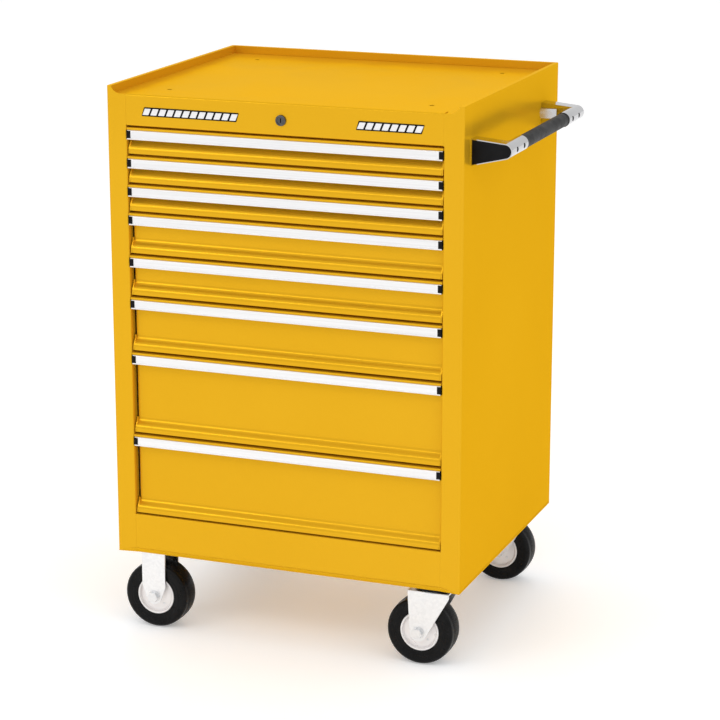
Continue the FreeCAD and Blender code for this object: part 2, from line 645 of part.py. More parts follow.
def swivel_plate(y):
    """Mounting plate with its race cup, kingpin and the nut under the fork's crown."""
    plate = mounting_plate(SWIVEL_X, y)
    gap = CROWN_TOP + 1.2
    cup = Part.makeCone(31.5, 27.0, PLATE_TOP - PLATE[2] - gap, V(SWIVEL_X, y, gap), V(0, 0, 1))
    pin = rod(KING_RADIUS, (SWIVEL_X, y, CROWN_TOP - 12), (SWIVEL_X, y, PLATE_TOP - 2))
    nut = hexagon(17, (SWIVEL_X, y, CROWN_TOP - 13), (SWIVEL_X, y, CROWN_TOP - 5.8))
    return fuse(plate, cup, pin, nut)


def axle(x, y):
    """Axle bolt: head towards the front, nut behind, with the pin between the fork's legs."""
    pin = rod(AXLE_RADIUS, (x, y - LEG_OUTER, WHEEL_RADIUS), (x, y + LEG_OUTER + 9, WHEEL_RADIUS))
    washer = rod(12.0, (x, y - LEG_OUTER - 1.5, WHEEL_RADIUS), (x, y - LEG_OUTER, WHEEL_RADIUS))
    head = hexagon(18, (x, y - LEG_OUTER - 8.5, WHEEL_RADIUS), (x, y - LEG_OUTER - 1.5, WHEEL_RADIUS))
    nut = hexagon(18, (x, y + LEG_OUTER, WHEEL_RADIUS), (x, y + LEG_OUTER + 7, WHEEL_RADIUS))
    return fuse(pin, washer, head, nut)


def turned(profile, x, y):
    """Revolves a closed profile, given as (radius, offset along the axle), about a wheel's axle."""
    face = Part.Face(Part.makePolygon([V(r, t, 0) for r, t in profile + [profile[0]]]))
    solid = face.revolve(V(0, 0, 0), V(0, 1, 0), 360)
    solid.translate(V(x, y, WHEEL_RADIUS))
    return solid


def wheel_rim(x, y):
    """Cast wheel centre: a dished web between an outer flange and a hub bored to run on the axle."""
    half = [(AXLE_RADIUS + RUNNING, 27.0), (12.5, 27.0), (14.5, 25.0), (16.0, 17.0), (20.0, 14.5),
            (29.0, 14.5), (32.0, 17.0), (33.0, 22.5), (35.5, 23.0), (RIM_RADIUS, 22.0)]
    other = [(r, -t) for r, t in reversed(half)]
    return turned(half + other, x, y)


def tyre(x, y):
    """Solid rubber tyre: rounded shoulders, raised bead ring and two grooves round the tread."""
    half = [(RIM_RADIUS, 22.0), (39.0, 23.6), (48.0, 24.6), (54.0, TYRE_WIDTH / 2), (57.5, 24.2), (60.2, 22.0),
            (61.9, 18.6), (62.8, 14.0), (63.1, 10.6), (61.9, 10.0), (61.9, 8.6), (63.2, 8.0),
            (WHEEL_RADIUS, 4.0)]
    other = [(r, -t) for r, t in reversed(half)]
    return turned(half + other, x, y)


def bolt_set():
    """Caster bolts with their nuts, and the bolts that hold the handle from inside the side panel."""
    made = []
    for x in (RIGID_X, SWIVEL_X):
        for bx, by in caster_bolts(x):
            head = hexagon(13, (bx, by, PLATE_TOP - PLATE[2] - 5.3), (bx, by, PLATE_TOP - PLATE[2]))
            shank = rod(4.0, (bx, by, PLATE_TOP - PLATE[2]), (bx, by, PLATE_TOP + 12))
            nut = hexagon(13, (bx, by, PLATE_TOP + CHANNEL_SHEET), (bx, by, PLATE_TOP + CHANNEL_SHEET + 6.5))
            made.append(fuse(head, shank, nut))
    for y, z in handle_bolts():
        head = hexagon(13, (HALF_W - SHEET - 5.3, y, z), (HALF_W - SHEET, y, z))
        shank = rod(4.0, (HALF_W - SHEET, y, z), (HALF_W + 20, y, z))
        made.append(fuse(head, shank))
    return made


# ---- write the nodes -----------------------------------------------------------------------------
def main():
    os.makedirs("parts", exist_ok=True)
    right, holes = side_panel()
    save("side_panel_left", mirrored_x(right))
    save("side_panel_right", right.cut(Part.makeCompound(holes)))
    save("back_panel", back_panel())
    save("top_rail", top_rail())
    save("bottom_rail", bottom_rail())
    save("top_deck", top_deck())
    save("floor_pan", floor_pan())
    save("caster_channels", *caster_channels())
    save("slide_uprights", *slide_uprights())
    rails = []
    for number, (top, pitch) in enumerate(drawer_tops(), 1):
        tray = drawer_tray(top, pitch) + inner_members(top, pitch)
        save(f"drawer_{number}", drawer_front(top, pitch), *tray)
        save(f"drawer_{number}_pull", drawer_pull(top))
        save(f"drawer_{number}_slides", *middle_members(top, pitch))
        rails += outer_members(top, pitch)
    save("slide_rails", *rails)
    save("lock_housing", *lock_housing())
    save("lock_plug", lock_plug())
    save("lock_bar", lock_bar())
    save("lock_guides", *lock_guides())
    save("name_plates", *name_plates())
    middle = (HANDLE_FRONT + HANDLE_BACK) / 2
    save("handle_brackets", handle_bracket(), mirrored_y(handle_bracket(), middle))
    save("handle_end_caps", end_cap(), mirrored_y(end_cap(), middle))
    tube_ends = (HANDLE_FRONT + 9, HANDLE_BACK - 9)
    tube = rod(TUBE_RADIUS, *[(HANDLE_X, y, HANDLE_Z) for y in tube_ends])
    save("handle_tube", tube.cut(rod(TUBE_RADIUS - 1.5, *[(HANDLE_X, y, HANDLE_Z) for y in tube_ends])))
    save("handle_grip", grip())
    screws = set_screws()
    save("handle_set_screws", *screws, *[mirrored_y(s, middle) for s in screws])
    save("mounting_bolts", *bolt_set())
    save("rigid_forks", *[rigid_fork(s * CASTER_Y) for s in (-1, 1)])
    save("swivel_plates", *[swivel_plate(s * CASTER_Y) for s in (-1, 1)])
    save("rigid_axles", *[axle(RIGID_X, s * CASTER_Y) for s in (-1, 1)])
    for place, side in (("front", -1), ("rear", 1)):
        y = side * CASTER_Y
        save(f"swivel_fork_{place}", swivel_fork(y))
        save(f"swivel_axle_{place}", axle(SWIVEL_X - TRAIL, y))
        for hand, x in (("left", RIGID_X), ("right", SWIVEL_X - TRAIL)):
            save(f"wheel_rim_{place}_{hand}", wheel_rim(x, y))
            save(f"tyre_{place}_{hand}", tyre(x, y))


main()
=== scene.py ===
"""Looks of the rolling tool box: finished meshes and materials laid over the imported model.

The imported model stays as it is. Lengths are in metres. Those in millimetres have names that end in _MM
or _mm, stand inside mm(), come from size_mm(), or belong to lathe()'s profiles and the grip's stations.
"""
import json
import math

import bmesh
import bpy
from mathutils import Matrix, Vector

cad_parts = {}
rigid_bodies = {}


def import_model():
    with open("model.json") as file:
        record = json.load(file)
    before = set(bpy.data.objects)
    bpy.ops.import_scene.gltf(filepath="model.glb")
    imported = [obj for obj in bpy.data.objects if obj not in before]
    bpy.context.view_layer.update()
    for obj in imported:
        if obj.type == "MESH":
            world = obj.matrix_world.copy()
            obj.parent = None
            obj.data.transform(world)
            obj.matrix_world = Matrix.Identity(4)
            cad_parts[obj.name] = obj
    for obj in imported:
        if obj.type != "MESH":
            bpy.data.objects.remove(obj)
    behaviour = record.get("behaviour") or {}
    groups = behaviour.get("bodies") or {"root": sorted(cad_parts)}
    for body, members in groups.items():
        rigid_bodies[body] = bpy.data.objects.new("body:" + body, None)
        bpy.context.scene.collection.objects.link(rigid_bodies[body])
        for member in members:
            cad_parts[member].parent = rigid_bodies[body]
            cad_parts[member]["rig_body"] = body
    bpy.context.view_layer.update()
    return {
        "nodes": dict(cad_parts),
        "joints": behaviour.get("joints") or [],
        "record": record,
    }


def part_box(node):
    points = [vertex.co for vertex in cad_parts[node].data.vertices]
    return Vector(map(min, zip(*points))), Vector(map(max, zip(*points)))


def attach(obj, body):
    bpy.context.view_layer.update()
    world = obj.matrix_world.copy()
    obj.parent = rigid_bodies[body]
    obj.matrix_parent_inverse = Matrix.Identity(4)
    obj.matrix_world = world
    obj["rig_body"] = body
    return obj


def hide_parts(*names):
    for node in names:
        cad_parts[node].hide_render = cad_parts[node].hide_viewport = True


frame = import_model()
DRAWERS = range(1, 9)
CASTERS = [(place, hand) for place in ("front", "rear") for hand in ("left", "right")]


def mm(value):
    return value / 1000


# ---- materials -------------------------------------------------------------------------------------
class Surface:
    """A Principled material with procedural layers, laid out in each piece's own coordinates, in metres."""

    def __init__(self, name, **sockets):
        self.material = bpy.data.materials.new(name)
        self.material.use_nodes = True
        self.nodes = self.material.node_tree.nodes
        self.links = self.material.node_tree.links
        self.shader = self.nodes["Principled BSDF"]
        self.coords = self.nodes.new("ShaderNodeTexCoord").outputs["Object"]
        self.normal = None
        for socket, value in sockets.items():
            self.shader.inputs[socket.replace("_", " ")].default_value = value

    def place(self, stretch):
        mapping = self.nodes.new("ShaderNodeMapping")
        mapping.inputs["Scale"].default_value = stretch
        self.links.new(self.coords, mapping.inputs["Vector"])
        return mapping.outputs["Vector"]

    def noise(self, scale, detail=2.0, stretch=(1, 1, 1), distortion=0.0):
        """Grey noise; scale is in cycles per metre, and stretch multiplies it along each axis."""
        texture = self.nodes.new("ShaderNodeTexNoise")
        texture.inputs["Scale"].default_value = scale
        texture.inputs["Detail"].default_value = detail
        texture.inputs["Distortion"].default_value = distortion
        self.links.new(self.place(stretch), texture.inputs["Vector"])
        return texture.outputs["Fac"]

    def cells(self, scale):
        """A different grey in each cell, as in zinc spangle."""
        texture = self.nodes.new("ShaderNodeTexVoronoi")
        texture.inputs["Scale"].default_value = scale
        self.links.new(self.place((1, 1, 1)), texture.inputs["Vector"])
        grey = self.nodes.new("ShaderNodeRGBToBW")
        self.links.new(texture.outputs["Color"], grey.inputs[0])
        return grey.outputs[0]

    def remap(self, mask, low, high):
        """Spreads the middle of a mask over a range of values."""
        node = self.nodes.new("ShaderNodeMapRange")
        for socket, value in (("From Min", 0.3), ("From Max", 0.7), ("To Min", low), ("To Max", high)):
            node.inputs[socket].default_value = value
        self.links.new(mask, node.inputs["Value"])
        return node.outputs["Result"]

    def color(self, mask, first, second, start=0.3, end=0.7):
        ramp = self.nodes.new("ShaderNodeValToRGB")
        ramp.color_ramp.elements[0].position = start
        ramp.color_ramp.elements[0].color = (*first, 1)
        ramp.color_ramp.elements[1].position = end
        ramp.color_ramp.elements[1].color = (*second, 1)
        self.links.new(mask, ramp.inputs["Fac"])
        self.links.new(ramp.outputs["Color"], self.shader.inputs["Base Color"])
        return self

    def roughness(self, mask, low, high):
        self.links.new(self.remap(mask, low, high), self.shader.inputs["Roughness"])
        return self

    def bump(self, mask, depth, strength=1.0):
        """Adds relief; depth is in metres."""
        node = self.nodes.new("ShaderNodeBump")
        node.inputs["Strength"].default_value = strength
        node.inputs["Distance"].default_value = depth
        self.links.new(mask, node.inputs["Height"])
        if self.normal:
            self.links.new(self.normal, node.inputs["Normal"])
        self.normal = node.outputs["Normal"]
        self.links.new(self.normal, self.shader.inputs["Normal"])
        return self


GOLDEN = (1.0, 0.74, 0.16, 1.0)


def yellow_paint():
    """Gloss golden enamel with golden reflections, faint orange peel and handling marks."""
    paint = Surface("yellow_paint", Metallic=0.42, Specular_IOR_Level=0.0, Specular_Tint=GOLDEN)
    paint.color(paint.noise(2.2, 3), (0.725, 0.390, 0.014), (0.757, 0.414, 0.017))
    paint.roughness(paint.noise(9, 5, distortion=0.6), 0.17, 0.27)
    paint.bump(paint.noise(330, 1), 0.00010, 0.25)
    return paint.bump(paint.noise(1500, 2), 0.00002, 0.2).material


def aluminium():
    """Satin anodised extrusion, drawn along its length."""
    metal = Surface("aluminium_satin", Metallic=1.0, Anisotropic=0.4)
    metal.color(metal.noise(40, 4, (0.06, 12, 12)), (0.80, 0.795, 0.80), (0.89, 0.885, 0.89))
    metal.roughness(metal.noise(30, 4, (0.1, 14, 14)), 0.34, 0.46)
    return metal.bump(metal.noise(60, 3, (0.05, 30, 30)), 0.00006, 0.4).material


def zinc(name="zinc_plate", tone=0.80, rough=(0.26, 0.40), grain=(1, 0.05, 1)):
    """Plated steel, and the near-black lock metal whose darkness is a painted reflection: a faint spangle,
    fine grain, and a slight drift of gloss.
    """
    plate = Surface(name, Metallic=1.0)
    first = (tone * 0.94, tone * 0.945, tone * 0.955)
    plate.color(plate.cells(230), first, (tone, tone * 1.003, tone * 1.01), 0.2, 0.8)
    plate.roughness(plate.noise(26, 5, distortion=0.4), *rough)
    plate.bump(plate.noise(900, 3, grain), 0.00005, 0.3)
    return plate.bump(plate.noise(70, 3), 0.00012, 0.12).material


def chrome():
    """Polished chrome with faint smears."""
    metal = Surface("chrome", Metallic=1.0)
    metal.color(metal.noise(12, 3), (0.53, 0.53, 0.542), (0.61, 0.61, 0.62))
    metal.roughness(metal.noise(45, 5, distortion=0.8), 0.06, 0.15)
    return metal.bump(metal.noise(140, 2), 0.00004, 0.2).material


def rubber(name, dark, light, rough, grain=1400, gloss=0.2):
    """Moulded black rubber with a dusty bloom and fine grain."""
    skin = Surface(name, Specular_IOR_Level=gloss)
    skin.color(skin.noise(34, 6, distortion=0.5), (dark,) * 3, (light, light, light * 1.04), 0.32, 0.75)
    skin.roughness(skin.noise(60, 4), *rough)
    skin.bump(skin.noise(grain, 2), 0.00008, 0.5)
    return skin.bump(skin.noise(180, 3), 0.0001, 0.2).material


def black_plastic():
    """Matt black plastic with a fine moulded texture."""
    skin = Surface("black_plastic", Specular_IOR_Level=0.1)
    skin.color(skin.noise(50, 4), (0.0035, 0.0035, 0.004), (0.007, 0.007, 0.008))
    skin.roughness(skin.noise(90, 4), 0.30, 0.44)
    return skin.bump(skin.noise(2200, 1), 0.00005, 0.5).material


def enamel():
    """Pale stoved enamel of the wheel centres."""
    coat = Surface("pale_enamel", Metallic=0.3, Specular_IOR_Level=0.4)
    coat.color(coat.noise(16, 4), (0.83, 0.80, 0.79), (0.88, 0.855, 0.845))
    coat.roughness(coat.noise(30, 5), 0.26, 0.4)
    return coat.bump(coat.noise(300, 2), 0.0001, 0.3).material


def black_coat():
    """Semi-gloss black chassis paint."""
    coat = Surface("black_coat", Coat_Weight=0.3, Coat_Roughness=0.2)
    coat.color(coat.noise(18, 4), (0.012, 0.012, 0.013), (0.022, 0.022, 0.023))
    coat.roughness(coat.noise(30, 5), 0.34, 0.5)
    return coat.bump(coat.noise(420, 2), 0.00015, 0.4).material


PAINT = yellow_paint()
ALUMINIUM = aluminium()
ZINC = zinc()
BRIGHT_ZINC = zinc("bright_zinc", 0.86, (0.30, 0.42), (1, 1, 0.1))
BOLT_STEEL = zinc("bolt_steel", 0.80, (0.22, 0.36), (1, 1, 1))
# Near-black metal for the lock: its darkness is a painted reflection, standing for the dark surroundings that
# a chrome lock mirrors.
LOCK_METAL_PAINTED_REFLECTION = zinc("lock_metal_painted_reflection", 0.10, (0.16, 0.28), (1, 1, 1))
ENAMEL = enamel()
CHROME = chrome()
TYRE_RUBBER = rubber("tyre_rubber", 0.003, 0.008, (0.22, 0.36), gloss=0.12)
GRIP_RUBBER = rubber("grip_rubber", 0.008, 0.016, (0.42, 0.58), 1900)
LINER_RUBBER = rubber("liner_rubber", 0.018, 0.034, (0.6, 0.8), 900)
PLASTIC = black_plastic()
BLACK_COAT = black_coat()
SLOT_LOOKS = {
    "yellow_paint": PAINT,
    "aluminium_pull": ALUMINIUM,
    "zinc": ZINC,
    "black_steel": BLACK_COAT,
    "chrome": CHROME,
    "black_rubber": GRIP_RUBBER,
    "black_plastic": PLASTIC,
    "tyre": TYRE_RUBBER,
    "wheel_centre": ENAMEL,
}


# ---- mesh helpers ----------------------------------------------------------------------------------
def smooth(mesh, angle):
    """Shades a mesh smooth, with its edges sharp beyond the angle in degrees."""
    mesh.polygons.foreach_set("use_smooth", [True] * len(mesh.polygons))
    mesh.set_sharp_from_angle(angle=math.radians(angle))


def piece(name, bm, look, body, stands_for=(), angle=32):
    """Turns a bmesh into a piece that rides on a body. Large faces rule the normals, so flats stay flat."""
    mesh = bpy.data.meshes.new(name)
    bm.to_mesh(mesh)
    bm.free()
    smooth(mesh, angle)
    mesh.materials.append(look)
    obj = bpy.data.objects.new(name, mesh)
    bpy.context.scene.collection.objects.link(obj)
    normals = obj.modifiers.new("flat_faces", "WEIGHTED_NORMAL")
    normals.keep_sharp = True
    normals.weight = 80
    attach(obj, body)
    if stands_for:
        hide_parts(*stands_for)
    return obj


def islands(bm):
    """The separate shells of a mesh, as lists of vertices."""
    left, found = set(bm.verts), []
    while left:
        stack, shell = [left.pop()], []
        while stack:
            vert = stack.pop()
            shell.append(vert)
            for edge in vert.link_edges:
                other = edge.other_vert(vert)
                if other in left:
                    left.remove(other)
                    stack.append(other)
        found.append(shell)
    found.sort(key=lambda shell: tuple(round(c, 5) for c in span(shell)[0]))
    return found


def span(verts):
    """(lowest corner, highest corner) of some vertices."""
    low = Vector([min(v.co[k] for v in verts) for k in range(3)])
    high = Vector([max(v.co[k] for v in verts) for k in range(3)])
    return low, high


def welded(node):
    """A CAD node's mesh, copied and welded into clean flat faces."""
    bm = bmesh.new()
    bm.from_mesh(frame["nodes"][node].data)
    bmesh.ops.remove_doubles(bm, verts=bm.verts, dist=2e-6)
    bmesh.ops.dissolve_limit(bm, angle_limit=math.radians(0.6), verts=bm.verts, edges=bm.edges)
    return bm


SHARP_ANGLE = math.radians(30)


def round_edges(bm, width):
    """Bevels every edge that turns by more than the sharp angle."""
    sharp = [e for e in bm.edges if len(e.link_faces) == 2 and e.calc_face_angle(0) > SHARP_ANGLE]
    if sharp:
        bmesh.ops.bevel(bm, geom=sharp, offset=width, offset_type="OFFSET", segments=2, profile=0.5,
                        affect="EDGES", clamp_overlap=True, miter_outer="ARC")


def groove(bm, point, over, push, size, on_face):
    """Presses a narrow V line into a sheet: over points across the line, push through the sheet."""
    width, depth = mm(size[0]), mm(size[1])
    for step in (-0.5, 0, 0.5):
        bmesh.ops.bisect_plane(bm, geom=[*bm.verts, *bm.edges, *bm.faces], dist=1e-7, plane_no=over,
                               plane_co=point + over * width * step)
    for vert in bm.verts:
        if abs((vert.co - point).dot(over)) < 1e-5 and on_face(vert.co):
            vert.co += push * depth


def finished(node, width_mm, look=None, keep=None, suffix="finished", press=None):
    """A piece that stands for a CAD node, with its sharp edges broken. keep chooses shells by their span."""
    bm = welded(node)
    if keep:
        drop = [v for shell in islands(bm) if not keep(*span(shell)) for v in shell]
        bmesh.ops.delete(bm, geom=drop, context="VERTS")
    round_edges(bm, mm(width_mm))
    if press:
        press(bm)
    slot = next(part["material_slot"] for part in frame["record"]["subparts"] if part["node"] == node)
    body = frame["nodes"][node]["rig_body"]
    return piece(f"{node}_{suffix}", bm, look or SLOT_LOOKS[slot], body, (node,))


def rounded_box(bm, low, high, radius, segments=3):
    """Adds a box with rounded edges between two corners."""
    size = high - low
    place = Matrix.Translation((low + high) / 2) @ Matrix.Diagonal((*size, 1))
    made = bmesh.ops.create_cube(bm, size=1, matrix=place)
    edges = {e for v in made["verts"] for e in v.link_edges}
    bmesh.ops.bevel(bm, geom=list(edges), offset=radius, segments=segments, profile=0.5, affect="EDGES")


def lathe(bm, profile, centre, segments, axis="Y"):
    """Revolves a closed profile of (radius, offset along the axle) points, in millimetres."""
    rings = []
    for k in range(segments):
        angle = 2 * math.pi * k / segments
        c, s = math.cos(angle), math.sin(angle)
        ring = []
        for r, t in profile:
            local = {"X": (t, r * c, r * s), "Y": (r * c, t, r * s), "Z": (r * c, r * s, t)}[axis]
            ring.append(bm.verts.new(centre + Vector(local) / 1000))
        rings.append(ring)
    count = len(profile)
    for k in range(segments):
        a, b = rings[k], rings[(k + 1) % segments]
        for j in range(count):
            bm.faces.new((a[j], a[(j + 1) % count], b[(j + 1) % count], b[j]))
    bmesh.ops.recalc_face_normals(bm, faces=bm.faces)


def prism(bm, near, far):
    """Closes the space between two outlines of the same number of vertices, and returns its faces."""
    faces = [bm.faces.new(near), bm.faces.new(far[::-1])]
    for k in range(len(near)):
        n = (k + 1) % len(near)
        faces.append(bm.faces.new((near[n], near[k], far[k], far[n])))
    bmesh.ops.recalc_face_normals(bm, faces=faces)
    return faces


DOME_RINGS = 4
DOME_SEGMENTS = 16


def dome(bm, centre, outward, radius_mm, height_mm):
    """A rivet head: a shallow cap standing on a surface."""
    turn = outward.to_track_quat("Z", "Y").to_matrix()
    previous = None
    for ring in range(DOME_RINGS + 1):
        angle = math.pi / 2 * ring / DOME_RINGS
        r, h = radius_mm * math.cos(angle), height_mm * math.sin(angle)
        if ring == DOME_RINGS:
            top = bm.verts.new(centre + turn @ Vector((0, 0, mm(h))))
            for k in range(DOME_SEGMENTS):
                bm.faces.new((previous[k], previous[(k + 1) % DOME_SEGMENTS], top))
            break
        current = []
        for k in range(DOME_SEGMENTS):
            a = 2 * math.pi * k / DOME_SEGMENTS
            local = Vector((mm(r * math.cos(a)), mm(r * math.sin(a)), mm(h)))
            current.append(bm.verts.new(centre + turn @ local))
        if previous:
            for k in range(DOME_SEGMENTS):
                n = (k + 1) % DOME_SEGMENTS
                bm.faces.new((previous[k], previous[n], current[n], current[k]))
        else:
            bm.faces.new(list(reversed(current)))
        previous = current


# ---- cabinet body ----------------------------------------------------------------------------------
BEVEL_MM = 8.0
CREASE_MM = (2.6, 2.2)  # width and depth of the pressed lines


def press_rail(bm):
    """The crease over the bevelled lower edge of the bottom rail."""
    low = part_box("bottom_rail")[0]
    start = Vector((0, low.y, low.z + mm(BEVEL_MM + 1.4)))
    groove(bm, start, Vector((0, 0, 1)), Vector((0, 1, 0)), CREASE_MM, lambda co: co.y < low.y + mm(1.5))


def press_side(bm, side):
    """The crease down to the corner of the post, and the line over the hem along the side's lower edge."""
    low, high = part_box(f"side_panel_{side}")
    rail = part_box("bottom_rail")
    outer, inner = (low.x, rail[0].x) if side == "left" else (high.x, rail[1].x)
    line = Vector((inner - outer, 0, mm(BEVEL_MM))).normalized()
    over = Vector((-line.z, 0, line.x)) * math.copysign(1, line.x)
    corner = Vector((outer, low.y, low.z + mm(1.4)))
    groove(bm, corner, over, Vector((0, 1, 0)), CREASE_MM,
           lambda co: co.y < low.y + mm(1.5) and abs(co.x - outer) > mm(3.2))
    hem = Vector((outer, 0, low.z + mm(3.6)))
    inward = Vector((math.copysign(1, line.x), 0, 0))
    groove(bm, hem, Vector((0, 0, 1)), inward, CREASE_MM,
           lambda co: abs(co.x - outer) < mm(1.6) and low.y + mm(2) < co.y < high.y - mm(2))


def body_shell():
    """The fixed sheet metal, the slide channels and the latch bar."""
    for node in ("top_rail", "back_panel", "top_deck"):
        finished(node, 0.35)
    finished("bottom_rail", 0.35, press=press_rail)
    for side in ("left", "right"):
        finished(f"side_panel_{side}", 0.35, press=lambda bm, side=side: press_side(bm, side))
    for node in ("slide_uprights", "slide_rails", "caster_channels", "lock_bar", "lock_guides"):
        finished(node, 0.3)
    finished("floor_pan", 0.35)


BACK_RIVETS = 7
BACK_RIVET_INSET_MM = 11.0
BACK_RIVET_END_MM = 30.0


def back_rivets():
    """Blind rivets down both edges of the back panel."""
    low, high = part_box("back_panel")
    bm = bmesh.new()
    inset, end = mm(BACK_RIVET_INSET_MM), mm(BACK_RIVET_END_MM)
    for side in (low.x + inset, high.x - inset):
        for k in range(BACK_RIVETS):
            z = low.z + end + (high.z - low.z - 2 * end) * k / (BACK_RIVETS - 1)
            dome(bm, Vector((side, high.y - mm(0.1), z)), Vector((0, 1, 0)), 4.0, 1.4)
    piece("back_rivets", bm, ZINC, "root")


BADGE_LEAN_MM = 5.0
TILE_MM = 12.0
TILE_GAP_MM = 3.6
TILE_MARGIN_MM = 2.2  # dark backing left above and below the tiles


def badges():
    """Two blank badges: a dark slanted backing with a row of bright slanted tiles on it."""
    source = welded("name_plates")
    spans = [span(shell) for shell in islands(source)]
    source.free()
    backing, tiles = bmesh.new(), bmesh.new()
    for low, high in spans:
        slanted_plate(backing, low, high, mm(0.9), mm(0.25))
        inner = high.x - low.x - mm(3 + BADGE_LEAN_MM)
        count = round(inner / mm(TILE_MM + TILE_GAP_MM))
        pitch = (inner + mm(TILE_GAP_MM)) / count
        for k in range(count):
            left = low.x + mm(1.8) + k * pitch
            right = left + pitch - mm(TILE_GAP_MM - BADGE_LEAN_MM)
            tile_low = Vector((left, low.y, low.z + mm(TILE_MARGIN_MM)))
            tile_high = Vector((right, high.y, high.z - mm(TILE_MARGIN_MM)))
            slanted_plate(tiles, tile_low, tile_high, mm(1.4), mm(0.35))
    piece("name_plate_backing", backing, PLASTIC, "root", ("name_plates",))
    piece("name_plate_tiles", tiles, ALUMINIUM, "root")


def slanted_plate(bm, low, high, thick, edge):
    """A parallelogram plate standing forward of the front plane."""
    lean = mm(BADGE_LEAN_MM)
    outline = [(low.x, low.z), (high.x - lean, low.z), (high.x, high.z), (low.x + lean, high.z)]
    front = [bm.verts.new((x, high.y - thick, z)) for x, z in outline]
    back = [bm.verts.new((x, high.y, z)) for x, z in outline]
    faces = prism(bm, front, back)
    rim = list({e for f in faces for e in f.edges})
    corners = [e for e in rim if abs((e.verts[0].co - e.verts[1].co).y) > thick / 2]
    rounded = bmesh.ops.bevel(bm, geom=corners, offset=mm(0.8), segments=3, profile=0.5, affect="EDGES")
    verts = set(rounded["verts"])
    edges = {e for v in verts for e in v.link_edges if abs(e.verts[0].co.y - e.verts[1].co.y) < 1e-6
             and e.verts[0].co.y < high.y - thick / 2}
    bmesh.ops.bevel(bm, geom=list(edges), offset=edge, segments=2, profile=0.5, affect="EDGES")


# ---- drawers ---------------------------------------------------------------------------------------
SHEET_MM = 1.2


def size_mm(low, high):
    return (high - low) * 1000


def is_runner(low, high):
    size = size_mm(low, high)
    return size.x < 12 and size.z < 30


def is_front(low, high):
    size = size_mm(low, high)
    return size.x > 500 and 14 < size.y < 30


def is_catch(low, high):
    size = size_mm(low, high)
    return size.x < 25 and size.y < 20


def tray_space(node):
    """(outer low corner, outer high corner) of a drawer's tray, read from its front sheet and its runners."""
    bm = welded(node)
    spans = [span(shell) for shell in islands(bm)]
    bm.free()
    front = next(s for s in spans if is_front(*s))
    left, right = sorted((s for s in spans if is_runner(*s)), key=lambda s: s[0].x)
    low = Vector((left[1].x, front[1].y - mm(2.8), front[0].z + mm(1.5)))
    return low, Vector((right[0].x, right[1].y, front[1].z - mm(8)))


def rounded_corners(points, radius, steps=4):
    """An open path of 2-D points with its corners turned into arcs."""
    path = [Vector(p) for p in points]
    made = [path[0]]
    for before, corner, after in zip(path, path[1:], path[2:]):
        back, on = (before - corner).normalized(), (after - corner).normalized()
        half = back.angle(on) / 2
        centre = corner + (back + on).normalized() * (radius / math.sin(half))
        start = corner + back * (radius / math.tan(half)) - centre
        end = corner + on * (radius / math.tan(half)) - centre
        sweep = start.angle_signed(end)
        for k in range(steps + 1):
            made.append(centre + Matrix.Rotation(-sweep * k / steps, 2) @ start)
    return made + [path[-1]]


def folded(bm, points, thickness, radius, place, start, end):
    """Adds a bent sheet: the path thickened to its left, and drawn out along the third axis."""
    outer = rounded_corners(points, radius)
    inner = []
    for k, point in enumerate(outer):
        before = (point - outer[k - 1]).normalized() if k else (outer[1] - point).normalized()
        after = (outer[k + 1] - point).normalized() if k < len(outer) - 1 else before
        tangent = (before + after).normalized()
        normal = Vector((-tangent.y, tangent.x))
        inner.append(point + normal * thickness / max(0.3, tangent.dot(after)))
    outline = outer + inner[::-1]
    near = [bm.verts.new(place(a, b, start)) for a, b in outline]
    far = [bm.verts.new(place(a, b, end)) for a, b in outline]
    prism(bm, near, far)


def drawer(number):
    """One drawer: the finished CAD shells, the remade tray, and the small pieces on it."""
    node = f"drawer_{number}"
    finished(node, 0.4, keep=is_front, suffix="front")
    runners = finished(node, 0.25, ZINC, is_runner, "runners")
    catch = finished(node, 0.25, ZINC, is_catch, "catch")
    finished(f"{node}_pull", 0.35)
    pull_end_caps(number)
    front_lip(number)
    flare_ends(number)
    low, high = tray_space(node)
    tray(number, low, high)
    sheet = Vector((mm(SHEET_MM), 0, mm(SHEET_MM)))
    inner_low, inner_high = low + sheet, high - Vector((mm(SHEET_MM), mm(SHEET_MM), 0))
    liner(number, inner_low, inner_high)
    tray_rivets(number, inner_low, inner_high)
    finished(f"{node}_slides", 0.3)
    ball_rows(number)


HEM_MM = 4.0
BACK_FLANGE_MM = 14.0  # the tray's back, folded forward along the floor


def tray(number, low, high):
    """The drawer's tray: one sheet folded up at both sides with a hem at the rim, and a flanged back."""
    bm = bmesh.new()
    sheet, hem = mm(SHEET_MM), mm(HEM_MM)
    walls = [(low.x + hem, high.z), (low.x, high.z), (low.x, low.z), (high.x, low.z), (high.x, high.z),
             (high.x - hem, high.z)]
    folded(bm, walls, sheet, mm(2.0), lambda x, z, y: Vector((x, y, z)), low.y, high.y - sheet)
    foot = high.y - mm(BACK_FLANGE_MM)
    back = [(foot, low.z + sheet), (high.y, low.z + sheet), (high.y, high.z), (high.y - hem, high.z)]
    folded(bm, back, sheet, mm(2.0), lambda y, z, x: Vector((x, y, z)), low.x + sheet, high.x - sheet)
    piece(f"drawer_{number}_tray", bm, PAINT, f"drawer_{number}", (f"drawer_{number}",))


def front_lip(number):
    """The front sheet's rolled top edge, which lies over the pull's sloping top and runs past its ends."""
    low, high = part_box(f"drawer_{number}_pull")
    nose = low.y + mm(2.0)
    outer = [(high.y, high.z + mm(0.4)), (nose, high.z - mm(0.5)), (nose, high.z - mm(4.4)),
             (low.y + mm(3.3), high.z - mm(4.75))]
    outline = rounded_corners(outer, mm(1.3), 5) + [Vector((high.y, high.z + mm(0.05)))]
    bm = bmesh.new()
    ends = [[bm.verts.new((x, y, z)) for y, z in outline] for x in (low.x - mm(0.8), high.x + mm(0.8))]
    prism(bm, *ends)
    piece(f"drawer_{number}_front_lip", bm, PAINT, f"drawer_{number}")


